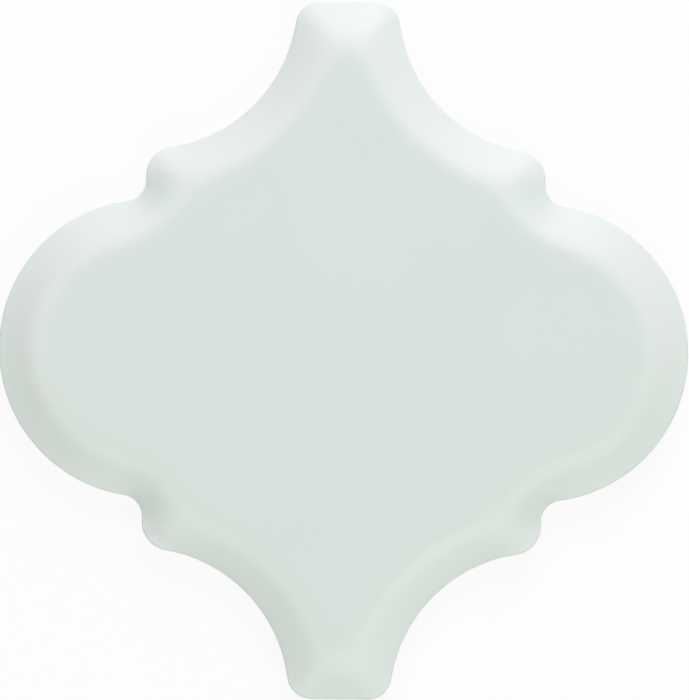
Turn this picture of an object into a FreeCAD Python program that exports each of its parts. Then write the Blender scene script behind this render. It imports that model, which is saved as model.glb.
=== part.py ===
"""Arabesque (lantern) wall tile, dry-pressed and fired as one piece, glazed on its face.

Frame: millimetres, +Z up. The tile lies on its back. The origin is the middle of the back, +X runs
to the right-hand lobe and +Y to the upper neck.
"""

import FreeCAD, Part

import math
import os

from FreeCAD import Vector

# Outline, seen from the face
HEIGHT = 120.0             # neck end to neck end
WIDTH = 118.6              # lobe tip to lobe tip
NECK_WIDTH = 17.4          # across the necks, where their sides run parallel
SHOULDER_WIDTH = 68.7      # across the upright steps between lobe and scallop
SHOULDER_HEIGHT = 8.8      # from the crown of a lobe up to the foot of the scallop above it
NOTCH_RADIUS = 3.7         # hollow corner at the foot of a shoulder
NUB_RADIUS = 5.0           # round corner at the top of a shoulder
NECK_CORNER_RADIUS = 4.2   # round corners of a neck end

# Section
THICKNESS = 9.0            # back to flat face
BEVEL_ANGLE = 26.0         # slope of the cushion edge below the face, in degrees
BEVEL_WIDTH = 4.2          # straight part of the slope, measured in from the rim
ROLL_WIDTH = 5.0           # round part, which brings the slope level with the face
RIM_RADIUS = 0.4           # rounded rim between slope and side wall
BACK_CHAMFER = 0.5         # broken edge round the back

# Keying channels pressed into the back for the adhesive
CHANNEL_WIDTH = 6.0
CHANNEL_PITCH = 10.0
CHANNEL_DEPTH = 0.6
CHANNEL_CORNER_RADIUS = 1.0
BACK_BORDER = 8.0          # plain land left between the channels and the outline

# Values worked out from the sizes above
UP = Vector(0, 0, 1)
ORIGIN = Vector(0, 0, 0)
ARC_RADIUS = (HEIGHT / 2 - SHOULDER_HEIGHT) / 2    # lobes and scallops share it, so the tiles interlock
LOBE_X = WIDTH / 2 - ARC_RADIUS
SCALLOP_X = NECK_WIDTH / 2 + ARC_RADIUS
SCALLOP_Y = HEIGHT / 2
SHOULDER_X = SHOULDER_WIDTH / 2
CORNER_SHARE = min(1.0, SHOULDER_HEIGHT / (NOTCH_RADIUS + NUB_RADIUS))
BEVEL_TURN = math.radians(BEVEL_ANGLE)
SLOPE = math.tan(BEVEL_TURN)
ROLL_RADIUS = ROLL_WIDTH / math.sin(BEVEL_TURN)
EDGE_WIDTH = BEVEL_WIDTH + ROLL_WIDTH
EDGE_DROP = BEVEL_WIDTH * SLOPE + ROLL_RADIUS * (1 - math.cos(BEVEL_TURN))    # face down to the sharp rim
RIM_TURN = math.pi / 2 - BEVEL_TURN
RIM_FOOT = THICKNESS - EDGE_DROP - RIM_RADIUS * math.tan(RIM_TURN / 2)        # where the side wall ends
CUT_MARGIN = 2.0           # how far the edge cutters stand clear of the blank


def polar(centre, radius, angle):
    """The point at that radius and angle (radians) about a centre."""
    return centre + Vector(radius * math.cos(angle), radius * math.sin(angle), 0)


class ArcRun:
    """A round stretch of the outline; bulging is True where the tile is inside the circle."""

    def __init__(self, centre, radius, start, end, bulging):
        self.centre = centre
        self.radius = radius
        self.start = start
        self.end = end
        self.bulging = bulging

    def edge(self):
        middle = (self.start + self.end) / 2
        points = [polar(self.centre, self.radius, a) for a in (self.start, middle, self.end)]
        return Part.Arc(*points).toShape()

    def cutter(self):
        """The edge section turned about the stretch's own centre."""
        inward = -1 if self.bulging else 1
        reach = min(EDGE_WIDTH, self.radius) if self.bulging else EDGE_WIDTH
        section = edge_section(reach, lambda depth, z: Vector(self.radius + inward * depth, 0, z))
        low, high = sorted((self.start, self.end))
        solid = section.revolve(ORIGIN, UP, math.degrees(high - low))
        solid.rotate(ORIGIN, UP, math.degrees(low))
        solid.translate(self.centre)
        return solid


class LineRun:
    """A straight stretch of the outline, with the tile on its left."""

    def __init__(self, start, end):
        self.start = start
        self.end = end

    def edge(self):
        return Part.makeLine(self.start, self.end)

    def cutter(self):
        """The edge section drawn along the stretch."""
        along = self.end - self.start
        inward = UP.cross(along).normalize()
        section = edge_section(EDGE_WIDTH, lambda depth, z: self.start + inward * depth + UP * z)
        return section.extrude(along)


def edge_height(depth):
    """Height of the cushion edge at a depth measured in from the outline, above the rounded rim."""
    if depth < BEVEL_WIDTH:
        return THICKNESS - EDGE_DROP + depth * SLOPE
    return THICKNESS - ROLL_RADIUS + math.sqrt(ROLL_RADIUS ** 2 - (EDGE_WIDTH - depth) ** 2)


def edge_section(reach, place):
    """Face of what the cushion edge takes off the blank, from outside the rim in to that reach."""

    def on_rim(angle):
        return place(RIM_RADIUS * (1 - math.cos(angle)), RIM_FOOT + RIM_RADIUS * math.sin(angle))

    def on_edge(depth):
        return place(depth, edge_height(depth))

    clear = THICKNESS + CUT_MARGIN
    edges = [
        Part.Arc(on_rim(0), on_rim(RIM_TURN / 2), on_rim(RIM_TURN)).toShape(),
        Part.makeLine(on_rim(RIM_TURN), on_edge(min(BEVEL_WIDTH, reach))),
    ]
    if reach > BEVEL_WIDTH:
        middle = (BEVEL_WIDTH + reach) / 2
        edges.append(Part.Arc(on_edge(BEVEL_WIDTH), on_edge(middle), on_edge(reach)).toShape())
    corners = [on_edge(reach), place(reach, clear), place(-CUT_MARGIN, clear),
               place(-CUT_MARGIN, RIM_FOOT), on_rim(0)]
    edges += Part.makePolygon(corners).Edges
    return Part.Face(Part.Wire(edges))


def outline_runs():
    """The stretches of the outline: one lobe, one quarter from its notch to its neck, one neck end."""
    lobe = Vector(LOBE_X, 0, 0)
    scallop = Vector(SCALLOP_X, SCALLOP_Y, 0)
    notch_radius = NOTCH_RADIUS * CORNER_SHARE
    nub_radius = NUB_RADIUS * CORNER_SHARE
    neck_radius = min(NECK_CORNER_RADIUS, NECK_WIDTH / 2)

    # Each corner's centre is set where its circle touches both of its neighbours
    notch_x = SHOULDER_X + notch_radius
    notch_y = math.sqrt((ARC_RADIUS + notch_radius) ** 2 - (notch_x - LOBE_X) ** 2)
    notch = Vector(notch_x, notch_y, 0)
    nub_x = SHOULDER_X - nub_radius
    nub_y = SCALLOP_Y - math.sqrt((ARC_RADIUS + nub_radius) ** 2 - (SCALLOP_X - nub_x) ** 2)
    nub = Vector(nub_x, nub_y, 0)
    corner_x = SCALLOP_X - math.sqrt((ARC_RADIUS + neck_radius) ** 2 - neck_radius ** 2)
    corner = Vector(corner_x, HEIGHT / 2 - neck_radius, 0)

    notch_angle = math.atan2(notch.y - lobe.y, notch.x - lobe.x)
    nub_angle = math.atan2(scallop.y - nub.y, scallop.x - nub.x)
    corner_angle = math.atan2(scallop.y - corner.y, scallop.x - corner.x)

    right_lobe = ArcRun(lobe, ARC_RADIUS, -notch_angle, notch_angle, True)
    quarter = [
        ArcRun(notch, notch_radius, notch_angle - math.pi, -math.pi, False),
        LineRun(Vector(SHOULDER_X, notch.y, 0), Vector(SHOULDER_X, nub.y, 0)),
        ArcRun(nub, nub_radius, 0, nub_angle, True),
        ArcRun(scallop, ARC_RADIUS, nub_angle - math.pi, corner_angle - math.pi, False),
        ArcRun(corner, neck_radius, corner_angle, math.pi / 2, True),
    ]
    top_neck_end = LineRun(Vector(corner.x, HEIGHT / 2, 0), Vector(-corner.x, HEIGHT / 2, 0))
    return right_lobe, quarter, top_neck_end


def mirrored(shape, normal):
    return shape.mirror(ORIGIN, normal)


def all_round(right_lobe, quarter, top_neck_end):
    """One lobe, one quarter and one neck end, copied to every place they have on the tile."""
    across = Vector(1, 0, 0)
    along = Vector(0, 1, 0)
    right_half = quarter + [mirrored(shape, along) for shape in quarter]
    left_half = [mirrored(shape, across) for shape in right_half]
    lobes = [right_lobe, mirrored(right_lobe, across)]
    neck_ends = [top_neck_end, mirrored(top_neck_end, along)]
    return right_half + left_half + lobes + neck_ends


def tile_outline():
    lobe, quarter, neck = outline_runs()
    edges = all_round(lobe.edge(), [run.edge() for run in quarter], neck.edge())
    return Part.Wire(Part.__sortEdges__(edges))


def edge_cutters():
    lobe, quarter, neck = outline_runs()
    return all_round(lobe.cutter(), [run.cutter() for run in quarter], neck.cutter())


def level_edges(shape, height):
    """The edges of a shape that lie level at that height."""
    tolerance = 1e-5
    return [e for e in shape.Edges
            if abs(e.BoundBox.ZMin - height) < tolerance and abs(e.BoundBox.ZMax - height) < tolerance]


def field_reach(field, x):
    """How far the field of channels runs up from the middle of the back, at that x."""
    upright = Part.makeLine(Vector(x, -HEIGHT, 0), Vector(x, HEIGHT, 0))
    return field.common(upright).BoundBox.YMax


def keying_channels(outline):
    """The channels in the back: upright slots, each as long as the border lets its two sides be."""
    field = Part.Face(outline.makeOffset2D(-BACK_BORDER))
    half_count = math.floor((WIDTH / 2 - BACK_BORDER - CHANNEL_WIDTH / 2) / CHANNEL_PITCH)
    channels = []
    for index in range(-half_count, half_count + 1):
        left = index * CHANNEL_PITCH - CHANNEL_WIDTH / 2
        reach = min(field_reach(field, left), field_reach(field, left + CHANNEL_WIDTH))
        slot = Part.makeBox(CHANNEL_WIDTH, 2 * reach, CHANNEL_DEPTH, Vector(left, -reach, 0))
        corners = [e for e in slot.Edges if e.BoundBox.ZLength > CHANNEL_DEPTH / 2]
        channels.append(slot.makeFillet(CHANNEL_CORNER_RADIUS, corners))
    return channels


def arabesque_tile():
    outline = tile_outline()
    blank = Part.Face(outline).extrude(UP * THICKNESS)
    first, *others = edge_cutters()
    tile = blank.cut(first.fuse(others))
    tile = tile.makeChamfer(BACK_CHAMFER, level_edges(tile, 0))
    return tile.cut(keying_channels(outline)).Solids[0]


os.makedirs("parts", exist_ok=True)
arabesque_tile().exportStep("parts/arabesque_tile.step")
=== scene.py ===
import math

import bmesh
import bpy
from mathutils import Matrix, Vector, noise


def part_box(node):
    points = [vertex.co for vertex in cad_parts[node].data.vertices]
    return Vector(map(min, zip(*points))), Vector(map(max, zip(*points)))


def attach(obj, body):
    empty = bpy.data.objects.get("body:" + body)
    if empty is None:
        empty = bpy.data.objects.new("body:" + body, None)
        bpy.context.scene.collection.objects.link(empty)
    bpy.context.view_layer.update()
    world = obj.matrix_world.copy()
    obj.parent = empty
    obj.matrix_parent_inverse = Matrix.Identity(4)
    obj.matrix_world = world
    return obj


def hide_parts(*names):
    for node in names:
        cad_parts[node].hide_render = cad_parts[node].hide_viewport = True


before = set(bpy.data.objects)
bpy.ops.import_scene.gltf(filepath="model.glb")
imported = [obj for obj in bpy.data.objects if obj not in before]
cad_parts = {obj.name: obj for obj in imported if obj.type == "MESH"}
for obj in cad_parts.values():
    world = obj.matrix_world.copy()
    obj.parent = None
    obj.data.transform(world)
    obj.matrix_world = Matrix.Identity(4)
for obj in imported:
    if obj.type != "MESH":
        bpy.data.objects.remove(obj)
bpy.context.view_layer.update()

# The tile: one dry-pressed ceramic piece in the arabesque (lantern) outline, with a cushion edge all round.
# A satin mint glaze covers its face and runs a little way down the side wall. Below that, and on the back,
# the biscuit stays bare, with pressed channels that key it to the adhesive. Sizes are in millimetres.

mm = 0.001
tile_low, tile_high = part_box("arabesque_tile")
width, height, thickness = (tile_high - tile_low) / mm

neck_width = 17.4
shoulder_width = 68.7
shoulder_height = 8.8
notch_radius = 3.7
nub_radius = 5.0
neck_corner_radius = 4.2

tile_mesh = bmesh.new()
glaze_cover = tile_mesh.verts.layers.float.new("glaze_cover")
edge_tone = tile_mesh.verts.layers.float.new("edge_tone")

# The outline is drawn from the tip of the right-hand lobe round to the middle of the upper neck, as a
# chain of arcs that touch each other, and then mirrored twice
lobe_steps = 72
notch_steps = 22
shoulder_steps = 2
nub_steps = 16
scallop_steps = 64
neck_corner_steps = 14
neck_end_steps = 9
mirror_merge_distance = 0.01
up = Vector((0, 0, 1))

arc_radius = (height / 2 - shoulder_height) / 2
lobe = Vector((width / 2 - arc_radius, 0))
scallop = Vector((neck_width / 2 + arc_radius, height / 2))

notch_x = shoulder_width / 2 + notch_radius
notch = Vector((notch_x, math.sqrt((arc_radius + notch_radius) ** 2 - (notch_x - lobe.x) ** 2)))
nub_x = shoulder_width / 2 - nub_radius
nub = Vector((nub_x, scallop.y - math.sqrt((arc_radius + nub_radius) ** 2 - (scallop.x - nub_x) ** 2)))
neck_reach = math.sqrt((arc_radius + neck_corner_radius) ** 2 - neck_corner_radius ** 2)
neck_corner = Vector((scallop.x - neck_reach, height / 2 - neck_corner_radius))

notch_angle = math.atan2(notch.y - lobe.y, notch.x - lobe.x)
nub_angle = math.atan2(scallop.y - nub.y, scallop.x - nub.x)
neck_angle = math.atan2(scallop.y - neck_corner.y, scallop.x - neck_corner.x)


def swing(pen, centre, angle, steps):
    """Carries the pen round a centre and returns it at the end of the arc."""
    drawn = bmesh.ops.spin(tile_mesh, geom=[pen], cent=centre.to_3d(), axis=up, angle=angle, steps=steps)
    return next(end for end in drawn["geom_last"] if isinstance(end, bmesh.types.BMVert))


def rule(pen, along, steps):
    """Draws a straight stretch and returns the pen at its end."""
    for step in range(steps):
        pen = bmesh.ops.extrude_vert_indiv(tile_mesh, verts=[pen])["verts"][0]
        bmesh.ops.translate(tile_mesh, verts=[pen], vec=along.to_3d() / steps)
    return pen


pen = bmesh.ops.create_vert(tile_mesh, co=(width / 2, 0, 0))["vert"][0]
pen = swing(pen, lobe, notch_angle, lobe_steps)
pen = swing(pen, notch, -notch_angle, notch_steps)
pen = rule(pen, Vector((0, nub.y - notch.y)), shoulder_steps)
pen = swing(pen, nub, nub_angle, nub_steps)
pen = swing(pen, scallop, neck_angle - nub_angle, scallop_steps)
pen = swing(pen, neck_corner, math.pi / 2 - neck_angle, neck_corner_steps)
rule(pen, Vector((-neck_corner.x, 0)), neck_end_steps)
for axis in ("X", "Y"):
    outline = tile_mesh.verts[:] + tile_mesh.edges[:]
    bmesh.ops.mirror(tile_mesh, geom=outline, axis=axis, merge_dist=mirror_merge_distance)

# The glazed part of the side wall, from the lower edge of the glaze up to the rim
bevel_angle = math.radians(26.0)
bevel_width = 4.2
roll_width = 5.0
rim_radius = 0.4
glaze_line = 2.3

edge_drop = bevel_width * math.tan(bevel_angle) + roll_width * math.tan(bevel_angle / 2)
rim_turn = math.pi / 2 - bevel_angle
rim_foot = thickness - edge_drop - rim_radius * math.tan(rim_turn / 2)

back = bmesh.ops.contextual_create(tile_mesh, geom=tile_mesh.edges[:])["faces"][0]
bmesh.ops.translate(tile_mesh, verts=tile_mesh.verts, vec=up * glaze_line)
raised = bmesh.ops.extrude_face_region(tile_mesh, geom=[back], use_keep_orig=True)["geom"]
face = next(part for part in raised if isinstance(part, bmesh.types.BMFace))
bmesh.ops.translate(tile_mesh, verts=face.verts[:], vec=up * (rim_foot - glaze_line))
bmesh.ops.recalc_face_normals(tile_mesh, faces=tile_mesh.faces)


def ring(cap, step, way):
    """Draws a cap in by step.x and moves it that way by step.y, which leaves a ring of faces round it."""
    bmesh.ops.inset_region(tile_mesh, faces=[cap], thickness=step.x, use_even_offset=True, use_boundary=True)
    bmesh.ops.translate(tile_mesh, verts=cap.verts[:], vec=way * step.y)


def rounded(radius, start, end, rings):
    """The steps that follow a round from one slope to another; a slope of 0 runs straight in."""
    side = math.copysign(radius, end - start)
    turns = [start + (end - start) * count / rings for count in range(rings + 1)]
    for turn, next_turn in zip(turns, turns[1:]):
        yield side * Vector((math.sin(next_turn) - math.sin(turn), math.cos(turn) - math.cos(next_turn)))


# The cushion edge is pressed ring by ring: rim, straight slope, and the roll that levels out in the face.
# Points that run together in the mitres of the nubs and neck corners are merged as the rings close up
rim_rings = 6
slope_rings = 16
roll_rings = 20
mitre_merge_distance = 0.22

roll_radius = roll_width / math.sin(bevel_angle)
slope_run = bevel_width - rim_radius * (1 - math.cos(rim_turn))
edge_section = list(rounded(rim_radius, math.pi / 2, bevel_angle, rim_rings))
slope_foot = rim_foot + sum(step.y for step in edge_section)
edge_section += [Vector((1, math.tan(bevel_angle))) * slope_run / slope_rings] * slope_rings
slope_top = rim_foot + sum(step.y for step in edge_section)
edge_section += rounded(roll_radius, bevel_angle, 0, roll_rings)

for step in edge_section:
    ring(face, step, up)
    points = face.verts[:]
    bmesh.ops.remove_doubles(tile_mesh, verts=points, dist=mitre_merge_distance)
    kept = next(each for each in points if each.is_valid)
    face = max(kept.link_faces, key=lambda each: len(each.verts))

# The mitres are rounded in the mould, level by level, and so are the tips where they end in the edge of the
# face. The glaze then flows over them as it melts, and a level strip joins the edge to the face
tip_rounding_passes = 100
mould_rounding_passes = 160
glaze_flow_passes = 24
smoothing = 0.5
level_strip = 0.15
hair = 0.001

face_edge = face.verts[:]
for run in range(tip_rounding_passes):
    neighbours = zip(face_edge[-1:] + face_edge[:-1], face_edge[1:] + face_edge[:1])
    middles = [(before.co + after.co) / 2 for before, after in neighbours]
    for each, middle in zip(face_edge, middles):
        each.co = each.co.lerp(middle, smoothing)

soft_points = [each for each in tile_mesh.verts if slope_foot + hair < each.co.z < thickness - hair]
for passes, flows_down in ((mould_rounding_passes, False), (glaze_flow_passes, True)):
    for run in range(passes):
        bmesh.ops.smooth_vert(tile_mesh, verts=soft_points, factor=smoothing,
                              use_axis_x=True, use_axis_y=True, use_axis_z=flows_down)
ring(face, Vector((level_strip, 0)), up)

# The glaze ends on the side wall in a rounded lip that wanders up and down. Under it the bare wall draws in
# slightly to the broken edge round the back
glaze_coat = 0.15
lip_rings = 4
wall_draft = 0.05
back_edge_radius = 0.3
back_edge_rings = 4
glaze_wander = 0.5
glaze_wander_length = 9.0

lip_foot = glaze_line - glaze_coat
wall_section = list(rounded(glaze_coat, math.pi / 2, 0, lip_rings))
wall_section.append(Vector((wall_draft, lip_foot - back_edge_radius)))
wall_section += rounded(back_edge_radius, math.pi / 2, 0, back_edge_rings)
wall_section.append(Vector((level_strip, 0)))
for step in wall_section:
    ring(back, step, -up)

for each in tile_mesh.verts:
    each[glaze_cover] = min(max((each.co.z - lip_foot) / glaze_coat, 0), 1)
    if lip_foot - hair < each.co.z < glaze_line + hair:
        each.co.z += glaze_wander * noise.noise(each.co.xy.to_3d() / glaze_wander_length)

# Near each notch the edge gets a weight that rises towards a point on the notch's flank and falls below zero
# towards the tip of the nub beside it
edge_tone_reach = 7.0
flank_inset = 2.0
flank_drop = 1.2

flank = notch - Vector((notch_radius + flank_inset, flank_drop))
nub_tip = nub + nub_radius * Vector((math.cos(nub_angle / 2), math.sin(nub_angle / 2)))
for each in tile_mesh.verts:
    in_quarter = Vector((abs(each.co.x), abs(each.co.y)))
    toward_notch = max(1 - (in_quarter - flank).length / edge_tone_reach, 0) ** 2
    toward_nub = max(1 - (in_quarter - nub_tip).length / edge_tone_reach, 0) ** 2
    each[edge_tone] = toward_notch - toward_nub

# The keying channels are upright slots with rounded mouths, each as long as the plain border lets its two
# sides be. The land between them is filled in last
back_border = 8.0
channel_width = 6.0
channel_pitch = 10.0
channel_depth = 0.6
channel_slope = math.radians(75.0)
channel_corner_radius = 1.0
corner_segments = 5
mouth_radius = 0.3
mouth_rings = 4
floor_radius = 0.2
floor_rings = 3


def field_reach(x):
    """How far the field of channels runs up from the middle of the back, at that distance from the middle."""
    reach = height / 2 - back_border
    for centre, radius in ((scallop, arc_radius), (notch, notch_radius)):
        if abs(x - centre.x) < radius + back_border:
            reach = min(reach, centre.y - math.sqrt((radius + back_border) ** 2 - (x - centre.x) ** 2))
    if x > lobe.x:
        reach = min(reach, math.sqrt((arc_radius - back_border) ** 2 - (x - lobe.x) ** 2))
    return reach


bmesh.ops.delete(tile_mesh, geom=[back], context="FACES_ONLY")

mouth = list(rounded(mouth_radius, 0, channel_slope, mouth_rings))
foot = list(rounded(floor_radius, channel_slope, 0, floor_rings))
straight_drop = channel_depth - sum(step.y for step in mouth) - sum(step.y for step in foot)
channel_side = [Vector((straight_drop / math.tan(channel_slope), straight_drop))]
channel_section = [Vector((level_strip, 0))] + mouth + channel_side + foot

half_count = math.floor((width / 2 - back_border - channel_width / 2) / channel_pitch)
for index in range(-half_count, half_count + 1):
    inner = abs(index) * channel_pitch - channel_width / 2
    half_length = min(field_reach(abs(inner)), field_reach(inner + channel_width))
    known = set(tile_mesh.faces)
    corners = bmesh.ops.create_grid(tile_mesh, x_segments=1, y_segments=1, size=1)["verts"]
    bmesh.ops.scale(tile_mesh, verts=corners, vec=(channel_width / 2, half_length, 1))
    bmesh.ops.translate(tile_mesh, verts=corners, vec=(index * channel_pitch, 0, 0))
    bmesh.ops.bevel(tile_mesh, geom=corners, affect="VERTICES", offset=channel_corner_radius,
                    segments=corner_segments, profile=0.5, material=-1)
    channel = next(each for each in tile_mesh.faces if each not in known)
    if channel.normal.z > 0:
        bmesh.ops.reverse_faces(tile_mesh, faces=[channel])
    for step in channel_section:
        ring(channel, step, up)

land_edges = [each for each in tile_mesh.edges if each.is_boundary]
bmesh.ops.triangle_fill(tile_mesh, edges=land_edges, use_beauty=True, normal=-up)

# The finished shape becomes the piece. Only its hard edges stay sharp
sharp_angle = math.radians(40)

bmesh.ops.scale(tile_mesh, verts=tile_mesh.verts, vec=(mm, mm, mm))
for each in tile_mesh.faces:
    each.smooth = True
mesh = bpy.data.meshes.new("tile")
tile_mesh.to_mesh(mesh)
tile_mesh.free()
mesh.set_sharp_from_angle(angle=sharp_angle)
tile = bpy.data.objects.new("tile", mesh)
bpy.context.collection.objects.link(tile)

# Glaze and biscuit share one finish, which goes by how much glaze covers each point. Its patterns are noise
# with patches of a given size, and most of that noise lies between two values
noise_low = 0.3
noise_high = 0.7
glaze_ior = 1.5

finish = bpy.data.materials.new("mint_glaze")
finish.use_nodes = True
nodes = finish.node_tree.nodes
links = finish.node_tree.links
shader = nodes["Principled BSDF"]
shader.inputs["IOR"].default_value = glaze_ior
position = nodes.new("ShaderNodeTexCoord").outputs["Object"]


def mottle(size, detail):
    """Noise with patches of about that size in millimetres."""
    texture = nodes.new("ShaderNodeTexNoise")
    texture.inputs["Scale"].default_value = 1 / (size * mm)
    texture.inputs["Detail"].default_value = detail
    links.new(position, texture.inputs["Vector"])
    return texture.outputs["Fac"]


def spread(value, low, high, start, end):
    """Carries a value from one range over to another and holds it at both ends."""
    node = nodes.new("ShaderNodeMapRange")
    for name, limit in zip(("From Min", "From Max", "To Min", "To Max"), (low, high, start, end)):
        node.inputs[name].default_value = limit
    links.new(value, node.inputs["Value"])
    return node.outputs["Result"]


def patches(size, detail, start, end):
    """Patches of about that size that go from one value to another."""
    return spread(mottle(size, detail), noise_low, noise_high, start, end)


def added(first, second):
    """The sum of two values."""
    node = nodes.new("ShaderNodeMath")
    links.new(first, node.inputs[0])
    links.new(second, node.inputs[1])
    return node.outputs["Value"]


def mixed(kind, factor, first, second):
    """Goes from the first colour or number to the second as the factor goes from 0 to 1."""
    node = nodes.new("ShaderNodeMix")
    node.data_type = kind
    sockets = [each for each in node.inputs if each.enabled]
    for socket, value in zip(sockets, (factor, first, second)):
        if isinstance(value, bpy.types.NodeSocket):
            links.new(value, socket)
        else:
            socket.default_value = value
    return next(each for each in node.outputs if each.enabled)


def measured(name):
    """What the mesh carries at each point under that name."""
    node = nodes.new("ShaderNodeAttribute")
    node.attribute_name = name
    return node.outputs["Fac"]


# The glaze stops at a ragged line halfway up its lip
ragged_size = 0.9
raggedness = 0.25
line_middle = 0.5
line_softness = 0.1

ragged_cover = added(measured("glaze_cover"), patches(ragged_size, 2, -raggedness, raggedness))
glazed = spread(ragged_cover, line_middle - line_softness, line_middle + line_softness, 0, 1)
bare = spread(glazed, 0, 1, 1, 0)

# The glaze is clouded. Over the shoulder of the cushion edge it is paler, partly from thin glaze where the
# pale body shows through and partly from a painted sheen. Down the slope towards the rim it is pale again and
# a little greener, partly from gathered glaze and partly from a painted sheen. Depths are below the face, and
# both lines drift up and down
glaze_pale = (0.678, 0.765, 0.718, 1)
glaze_deep = (0.666, 0.755, 0.706, 1)
thin_glaze_and_sheen = (0.732, 0.785, 0.747, 1)
gathered_glaze_and_sheen = (0.727, 0.797, 0.753, 1)
cloud_size = 18
drift_size = 7
drift = 0.03
thin_sheen_start_depth = 0.012
thin_sheen_full_depth = 0.32
gathered_sheen_strip = 0.15

axes = nodes.new("ShaderNodeSeparateXYZ")
links.new(position, axes.inputs["Vector"])
level = added(axes.outputs["Z"], patches(drift_size, 2, -drift * mm, drift * mm))


def below_face(start, end):
    """Goes from 0 to 1 between two depths below the face."""
    return spread(level, (thickness - end) * mm, (thickness - start) * mm, 1, 0)


# Painted sheen: the shoulder and slope tones are paler than the face, partly thin and gathered glaze, partly
# light on the edge
thin_and_sheen = below_face(thin_sheen_start_depth, thin_sheen_full_depth)
gathered_and_sheen = spread(level, (slope_foot + gathered_sheen_strip) * mm, slope_top * mm, 1, 0)
glaze_colour = mixed("RGBA", patches(cloud_size, 2, 0, 1), glaze_deep, glaze_pale)
glaze_colour = mixed("RGBA", thin_and_sheen, glaze_colour, thin_glaze_and_sheen)
glaze_colour = mixed("RGBA", gathered_and_sheen, glaze_colour, gathered_glaze_and_sheen)

# On the edge, the colour is a deeper green on the flanks of the notches and paler round the nubs
notch_tone = (0.665, 0.758, 0.703, 1)
nub_tone = (0.785, 0.817, 0.798, 1)
edge_start_depth = 0.1
edge_full_depth = 0.6

on_edge = below_face(edge_start_depth, edge_full_depth)
tone_weight = measured("edge_tone")
by_notches = mixed("FLOAT", on_edge, 0.0, spread(tone_weight, 0, 1, 0, 1))
by_nubs = mixed("FLOAT", on_edge, 0.0, spread(tone_weight, -1, 0, 1, 0))
glaze_colour = mixed("RGBA", by_notches, glaze_colour, notch_tone)
glaze_colour = mixed("RGBA", by_nubs, glaze_colour, nub_tone)

# The biscuit is grainy, with faint stains
biscuit_pale = (0.80, 0.765, 0.705, 1)
biscuit_dark = (0.69, 0.645, 0.575, 1)
biscuit_stain = (0.66, 0.62, 0.555, 1)
grain_size = 0.5
grain_low = 0.35
grain_high = 0.6
stain_size = 16
stain_low = 0.5
stain_high = 0.75
stain_strength = 0.45

grain = mottle(grain_size, 4)
stained = spread(mottle(stain_size, 3), stain_low, stain_high, 0, stain_strength)
biscuit_colour = mixed("RGBA", spread(grain, grain_low, grain_high, 0, 1), biscuit_dark, biscuit_pale)
biscuit_colour = mixed("RGBA", stained, biscuit_colour, biscuit_stain)
links.new(mixed("RGBA", glazed, biscuit_colour, glaze_colour), shader.inputs["Base Color"])

# The glaze has a satin gloss and lies in long shallow waves with a faint peel. The biscuit is dull and rough
gloss_size = 6
glaze_roughness_low = 0.31
glaze_roughness_high = 0.35
biscuit_roughness = 0.85
wave_size = 24
wave_depth = 0.06
peel_size = 2.6
peel_depth = 0.006
grain_depth = 0.05


def relief(pattern, depth, strength, under):
    """Raises and sinks the surface by a pattern, on top of the relief that is under it."""
    node = nodes.new("ShaderNodeBump")
    node.inputs["Distance"].default_value = depth * mm
    links.new(pattern, node.inputs["Height"])
    links.new(strength, node.inputs["Strength"])
    if under:
        links.new(under, node.inputs["Normal"])
    return node.outputs["Normal"]


glaze_roughness = patches(gloss_size, 3, glaze_roughness_low, glaze_roughness_high)
links.new(mixed("FLOAT", glazed, biscuit_roughness, glaze_roughness), shader.inputs["Roughness"])
wavy = relief(mottle(wave_size, 1), wave_depth, glazed, None)
peeled = relief(mottle(peel_size, 1), peel_depth, glazed, wavy)
grainy = relief(grain, grain_depth, bare, peeled)
links.new(grainy, shader.inputs["Normal"])
mesh.materials.append(finish)

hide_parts("arabesque_tile")
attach(tile, "root")

# The floor: a plain white table top that the tile lies on. It shows almost white to the lens, and keeps
# a little of the tile's shadow.
floor_reach = 2.0
floor_gap = 0.02
floor_white = 0.9
floor_seen_white = 0.88

floor_mesh = bmesh.new()
bmesh.ops.create_grid(floor_mesh, x_segments=1, y_segments=1, size=floor_reach)
bmesh.ops.translate(floor_mesh, verts=floor_mesh.verts, vec=(0, 0, -floor_gap * mm))
mesh = bpy.data.meshes.new("floor")
floor_mesh.to_mesh(mesh)
floor_mesh.free()
floor = bpy.data.objects.new("floor", mesh)
bpy.context.collection.objects.link(floor)

table_top = bpy.data.materials.new("white_table_top")
table_top.use_nodes = True
nodes = table_top.node_tree.nodes
links = table_top.node_tree.links
nodes.clear()


def seen_white(share):
    """The share that shows as plain white to the lens, in gloss and through glass. Other light sees none."""
    rays = nodes.new("ShaderNodeLightPath")
    total = rays.outputs["Is Camera Ray"]
    for ray in ("Is Glossy Ray", "Is Transmission Ray"):
        either = nodes.new("ShaderNodeMath")
        either.operation = "MAXIMUM"
        links.new(total, either.inputs[0])
        links.new(rays.outputs[ray], either.inputs[1])
        total = either.outputs["Value"]
    part = nodes.new("ShaderNodeMath")
    part.operation = "MULTIPLY"
    part.inputs[1].default_value = share
    links.new(total, part.inputs[0])
    return part.outputs["Value"]


paint = nodes.new("ShaderNodeBsdfDiffuse")
paint.inputs["Color"].default_value = (floor_white, floor_white, floor_white, 1)
white = nodes.new("ShaderNodeEmission")
blend = nodes.new("ShaderNodeMixShader")
output = nodes.new("ShaderNodeOutputMaterial")
links.new(seen_white(floor_seen_white), blend.inputs["Fac"])
links.new(paint.outputs["BSDF"], blend.inputs[1])
links.new(white.outputs["Emission"], blend.inputs[2])
links.new(blend.outputs["Shader"], output.inputs["Surface"])
mesh.materials.append(table_top)

# The light: soft studio panels in a white room. Two large ones light the tile from beyond its top and from
# below it, and the glaze doesn't mirror them. Three small ones, higher up, put a soft sheen on its edge. The
# place over the tile is left free for the camera.
panel_distance = 1.1
even_light_strength = 0.05


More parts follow.
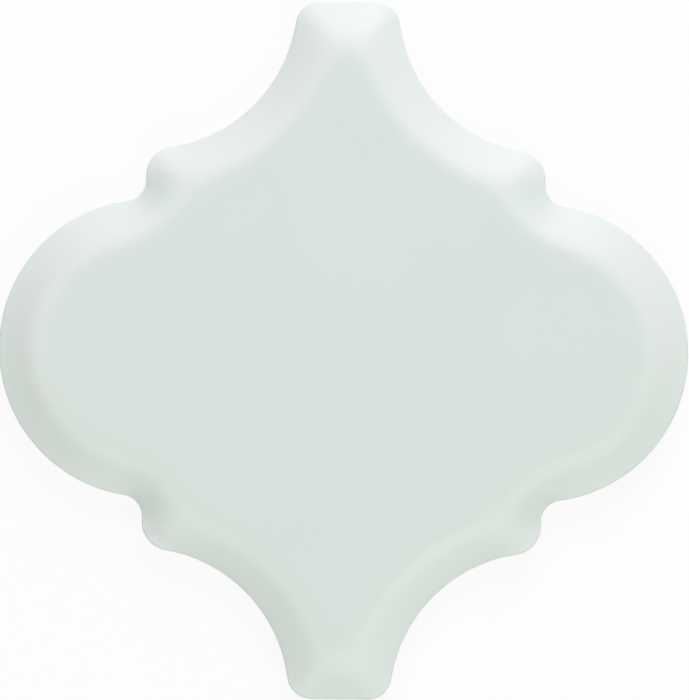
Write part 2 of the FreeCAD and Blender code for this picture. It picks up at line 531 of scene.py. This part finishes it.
def panel(name, azimuth, elevation, size, brightness, colour, mirrored):
    """A soft panel that faces the tile from that direction in degrees. Its size is in metres."""
    across, upright = size
    light = bpy.data.lights.new(name, "AREA")
    light.shape = "RECTANGLE"
    light.size = across
    light.size_y = upright
    light.energy = brightness * math.pi * across * upright
    light.color = colour
    lamp = bpy.data.objects.new(name, light)
    around = math.radians(azimuth)
    above = math.radians(elevation)
    aim = Vector((math.cos(above) * math.cos(around), math.cos(above) * math.sin(around), math.sin(above)))
    lamp.location = aim * panel_distance
    lamp.rotation_euler = aim.to_track_quat("Z", "Y").to_euler()
    lamp.visible_glossy = mirrored
    bpy.context.collection.objects.link(lamp)


panel("main_panel", azimuth=78.5, elevation=32.0, size=(0.61, 1.40), brightness=3.76,
      colour=(1, 0.952, 1), mirrored=False)
panel("fill_panel", azimuth=290.6, elevation=32.0, size=(1.52, 1.20), brightness=0.93,
      colour=(0.95, 1, 0.954), mirrored=False)
panel("top_sheen", azimuth=93.4, elevation=46.5, size=(1.27, 0.49), brightness=1.80,
      colour=(1, 0.954, 0.982), mirrored=True)
panel("low_sheen", azimuth=274.3, elevation=52.0, size=(1.26, 0.57), brightness=1.70,
      colour=(0.95, 1, 0.95), mirrored=True)
panel("left_sheen", azimuth=176.3, elevation=62.6, size=(0.45, 0.43), brightness=1.75,
      colour=(0.95, 1, 0.955), mirrored=True)

room = bpy.data.worlds.new("white_room")
room.use_nodes = True
nodes = room.node_tree.nodes
links = room.node_tree.links
even_light = nodes["Background"]
even_light.inputs["Color"].default_value = (1, 1, 1, 1)
even_light.inputs["Strength"].default_value = even_light_strength
walls = nodes.new("ShaderNodeBackground")
walls.inputs["Color"].default_value = (1, 1, 1, 1)
blend = nodes.new("ShaderNodeMixShader")
links.new(seen_white(1.0), blend.inputs["Fac"])
links.new(even_light.outputs["Background"], blend.inputs[1])
links.new(walls.outputs["Background"], blend.inputs[2])
links.new(blend.outputs["Shader"], nodes["World Output"].inputs["Surface"])
bpy.context.scene.world = room

# The camera: a long lens one pace above the tile, looking straight down. The tile sits a hair off the
# middle of the picture and is turned a little clockwise in it.
frame_height_px = 700
pixels_per_mm = 5.810
tile_off_middle_px = Vector((-0.85, -0.81))
tile_turn = math.radians(0.76)
focal_length = 250
sensor_size = 36

lens = bpy.data.cameras.new("camera")
lens.lens = focal_length
lens.sensor_width = sensor_size
camera = bpy.data.objects.new("camera", lens)
bpy.context.collection.objects.link(camera)
camera.rotation_euler = (0, 0, tile_turn)
rim_level = rim_foot * mm
distance = frame_height_px / pixels_per_mm * mm * focal_length / sensor_size
off_middle = -tile_off_middle_px.to_3d() / pixels_per_mm * mm
off_middle.rotate(camera.rotation_euler)
camera.location = off_middle + Vector((0, 0, rim_level + distance))
bpy.context.scene.camera = camera

bpy.context.scene.view_settings.view_transform = "Standard"
